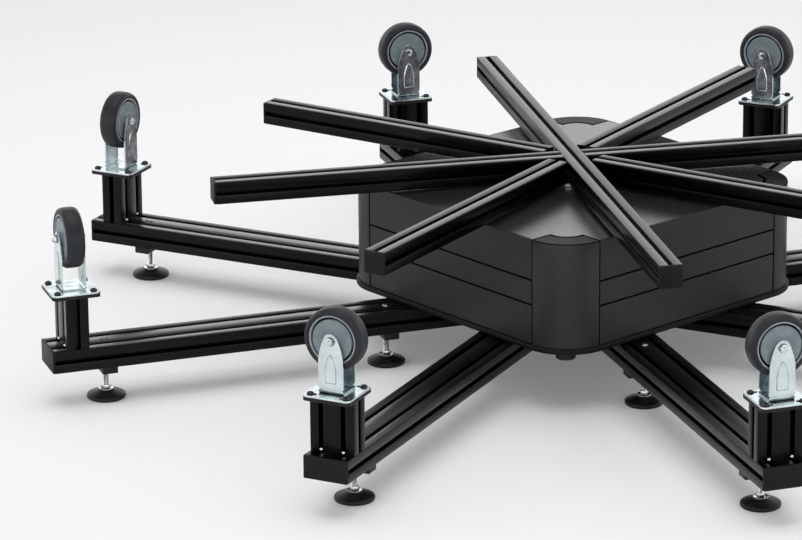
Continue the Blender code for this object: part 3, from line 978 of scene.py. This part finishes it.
def darken(mesh, look, hidden):
    """Gives the faces whose middles pass the test painted shade, the black of a shadow gap."""
    return paint(mesh, (look, GAP_SHADE), lambda spot, _: GAP_SHADE if hidden(spot) else look)


def cover_mesh():
    half, edge, radius = BOX - PANEL_T - 0.0007, SEAM - 0.0022, NOTCH_R - 0.0045
    corner = [(half, edge)] + notch(edge, radius) + [(edge, half)]
    hole = arc((0, 0), HUB_HOLE, 0, 355, 72)
    mesh = to_mesh(filled([quarters(corner), hole], BOX_TOP - COVER_T, BOX_TOP, 0.0004),
                   "top_cover")

    def in_gap(spot):
        near_corner = min(abs(spot.x), abs(spot.y)) > NOTCH_AT - 0.02
        return spot.z < BOX_TOP - 0.0002 and near_corner

    # painted shade: the cover's rims near the corners get the black of the gap
    return darken(level(mesh, 2), COVER, in_gap)


def make_box():
    corner = arc((SEAM, SEAM), BASE_HALF - SEAM, 0, 90, 25)
    base = level(to_mesh(slab(quarters(corner), BASE_Z, BASE_TOP, 0.0022), "base_plate", 40), 2)
    place("base_plate", base, BASE_LOOK, "base", "charcoal_frame", replaces=("base_frame",))
    column, panel = column_mesh(), panel_mesh()
    buffer_side = [
        (0, BUFFER_Z), (BUFFER_R - 0.0015, BUFFER_Z), (BUFFER_R, BUFFER_Z + 0.0015),
        (BUFFER_R, BASE_Z - 0.0002), (0, BASE_Z - 0.0002),
    ]
    rubber_foot = to_mesh(lathe(buffer_side, 40, close=False), "base_buffer")
    corners = ("back_right", "back_left", "front_left", "front_right")
    sides = ("right", "back", "left", "front")
    for quarter, (corner_name, side) in enumerate(zip(corners, sides)):
        spot = turn(90 * quarter, "Z")
        place(f"corner_column_{corner_name}", column, PANEL, "base", "charcoal_frame", spot)
        place(f"box_panel_{side}", panel, PANEL, "base", "charcoal_cover", spot,
              (f"side_panel_{side}",))
        place(f"base_buffer_{corner_name}", rubber_foot, BLACK, "base", "black_plastic",
              upright(45 + 90 * quarter, BUFFER_AT))
    socket = [
        (0.0306, 0.1400), (0.0480, 0.1400), (0.0520, BASE_TOP + 0.0004),
        (0.0306, BASE_TOP + 0.0004),
    ]
    place("hub_socket", to_mesh(lathe(socket, 48), "hub_socket"), HOUSING, "base", "charcoal_frame")
    place("box_cover", cover_mesh(), COVER, "base", "charcoal_cover", replaces=("top_cover",))


# ---------------------------------------------------------------- rotating star
def make_star():
    """Beams: one runs through, two butt against it, and four stand square-cut in the corners."""
    height = (STAR_Z + STAR_TOP) / 2
    through = extrusion("star_through", MODULE, MODULE, CAP - STAR_R, STAR_R - CAP)
    cross = extrusion("star_cross", MODULE, MODULE, MODULE / 2 + 0.0003, STAR_R - CAP)
    diagonal = extrusion("star_diagonal", MODULE, MODULE, DIAGONAL_IN, STAR_R - CAP)
    cap = end_cap("star_cap", MODULE, MODULE)
    beams = [("through", through, STAR_AZIMUTH), ("cross_1", cross, STAR_AZIMUTH + 90),
             ("cross_2", cross, STAR_AZIMUTH + 270)]
    beams += [(f"diagonal_{n + 1}", diagonal, STAR_AZIMUTH - 45 + 90 * n) for n in range(4)]
    for label, mesh, azimuth in beams:
        place(f"star_{label}", mesh, ANODISED, "turntable", "black_anodised",
              radial(azimuth, 0, height),
              (f"star_beam_{label}",))
        place(f"star_cap_{label}", cap, CAP_LOOK, "turntable", "black_plastic",
              radial(azimuth, STAR_R - CAP, height))
    place("star_cap_through_end", cap, CAP_LOOK, "turntable", "black_plastic",
          radial(STAR_AZIMUTH + 180, STAR_R - CAP, height))


def dress_inside():
    """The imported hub, roller and gear motor keep their shapes and get finished surfaces."""
    for node, look in (("turning_hub", STEEL), ("drive_roller", TYRE),
                       ("gear_motor_unit", HOUSING)):
        piece = NODES[node]
        piece.data.materials.clear()
        piece.data.materials.append(look)


# ---------------------------------------------------------------- studio
def make_camera():
    """The photograph's viewpoint, turned a little about the line of sight."""
    azimuth, elevation = math.radians(VIEW_AZIMUTH), math.radians(VIEW_ELEVATION)
    reach = math.cos(elevation)
    ahead = Vector((-math.sin(azimuth) * reach, math.cos(azimuth) * reach, -math.sin(elevation)))
    right = ahead.cross(Vector((0, 0, 1))).normalized()
    right.rotate(Matrix.Rotation(math.radians(VIEW_ROLL), 3, ahead))
    axes = Matrix((right, right.cross(ahead), -ahead)).transposed().to_4x4()
    data = bpy.data.cameras.new("studio_camera")
    data.sensor_width = SENSOR
    data.lens = LENS
    data.clip_end = 200
    camera = bpy.data.objects.new("studio_camera", data)
    bpy.context.scene.collection.objects.link(camera)
    camera.matrix_world = Matrix.Translation(VIEWPOINT) @ axes
    bpy.context.scene.camera = camera


def make_floor():
    """Pale paper with painted light: paler near the object to offset the shade it casts, a little
    darker far from it, and a faint glow that lifts the shadows.
    """
    work = bmesh.new()
    corners = ((-1, -1), (1, -1), (1, 1), (-1, 1))
    work.faces.new([work.verts.new((x * PAPER_HALF, y * PAPER_HALF, 0)) for x, y in corners])
    mesh = bpy.data.meshes.new("studio_floor")
    work.to_mesh(mesh)
    work.free()
    look = shader("studio_paper", (0.7, 0.7, 0.7), 0.0, 0.9, Specular_IOR_Level=0.0)
    tree = Tree(look)
    distance = tree.nodes.new("ShaderNodeVectorMath")
    distance.operation = "LENGTH"
    tree.links.new(tree.place, distance.inputs[0])
    spread = tree.nodes.new("ShaderNodeMapRange")
    spread.inputs["From Min"].default_value = PAPER_NEAR
    spread.inputs["From Max"].default_value = PAPER_FAR
    tree.links.new(distance.outputs["Value"], spread.inputs["Value"])
    mottled = tree.add(spread.outputs["Result"], tree.noise(3, 3), 0.02)
    # painted light: paler near the object, to offset the shade the object casts around itself
    paper = tree.ramp(mottled, PAPER_LIGHT, PAPER_DARK, 0.0, 1.0)
    tree.colour(paper)
    # painted light: the paper glows with its own colour, which lifts the shadows
    tree.links.new(paper, tree.shader.inputs["Emission Color"])
    tree.shader.inputs["Emission Strength"].default_value = PAPER_GLOW
    mesh.materials.append(look)
    floor = bpy.data.objects.new("studio_floor", mesh)
    bpy.context.scene.collection.objects.link(floor)


def make_light():
    """A white surround, even near the horizon, dim higher up, and brightest straight overhead."""
    world = bpy.data.worlds.new("studio_surround")
    bpy.context.scene.world = world
    world.use_nodes = True
    nodes, links = world.node_tree.nodes, world.node_tree.links
    place_of = nodes.new("ShaderNodeTexCoord")
    split = nodes.new("ShaderNodeSeparateXYZ")
    links.new(place_of.outputs["Generated"], split.inputs["Vector"])
    ramp = nodes.new("ShaderNodeValToRGB")
    stops = ramp.color_ramp.elements
    stops[0].position, stops[0].color = 0.0, (SKY_LOW, SKY_LOW, SKY_LOW, 1)
    stops[1].position, stops[1].color = 1.0, (SKY_HIGH, SKY_HIGH, SKY_HIGH, 1)
    for position, value in SKY:
        stop = stops.new(position)
        stop.color = (value, value, value, 1)
    links.new(split.outputs["Z"], ramp.inputs["Fac"])
    links.new(ramp.outputs["Color"], nodes["Background"].inputs["Color"])
    nodes["Background"].inputs["Strength"].default_value = SKY_STRENGTH


make_camera()
make_floor()
make_light()
bpy.context.scene.view_settings.view_transform = "Standard"

make_arms()
make_posts()
make_castors()
make_feet()
make_box()
make_star()
dress_inside()

bpy.context.view_layer.update()
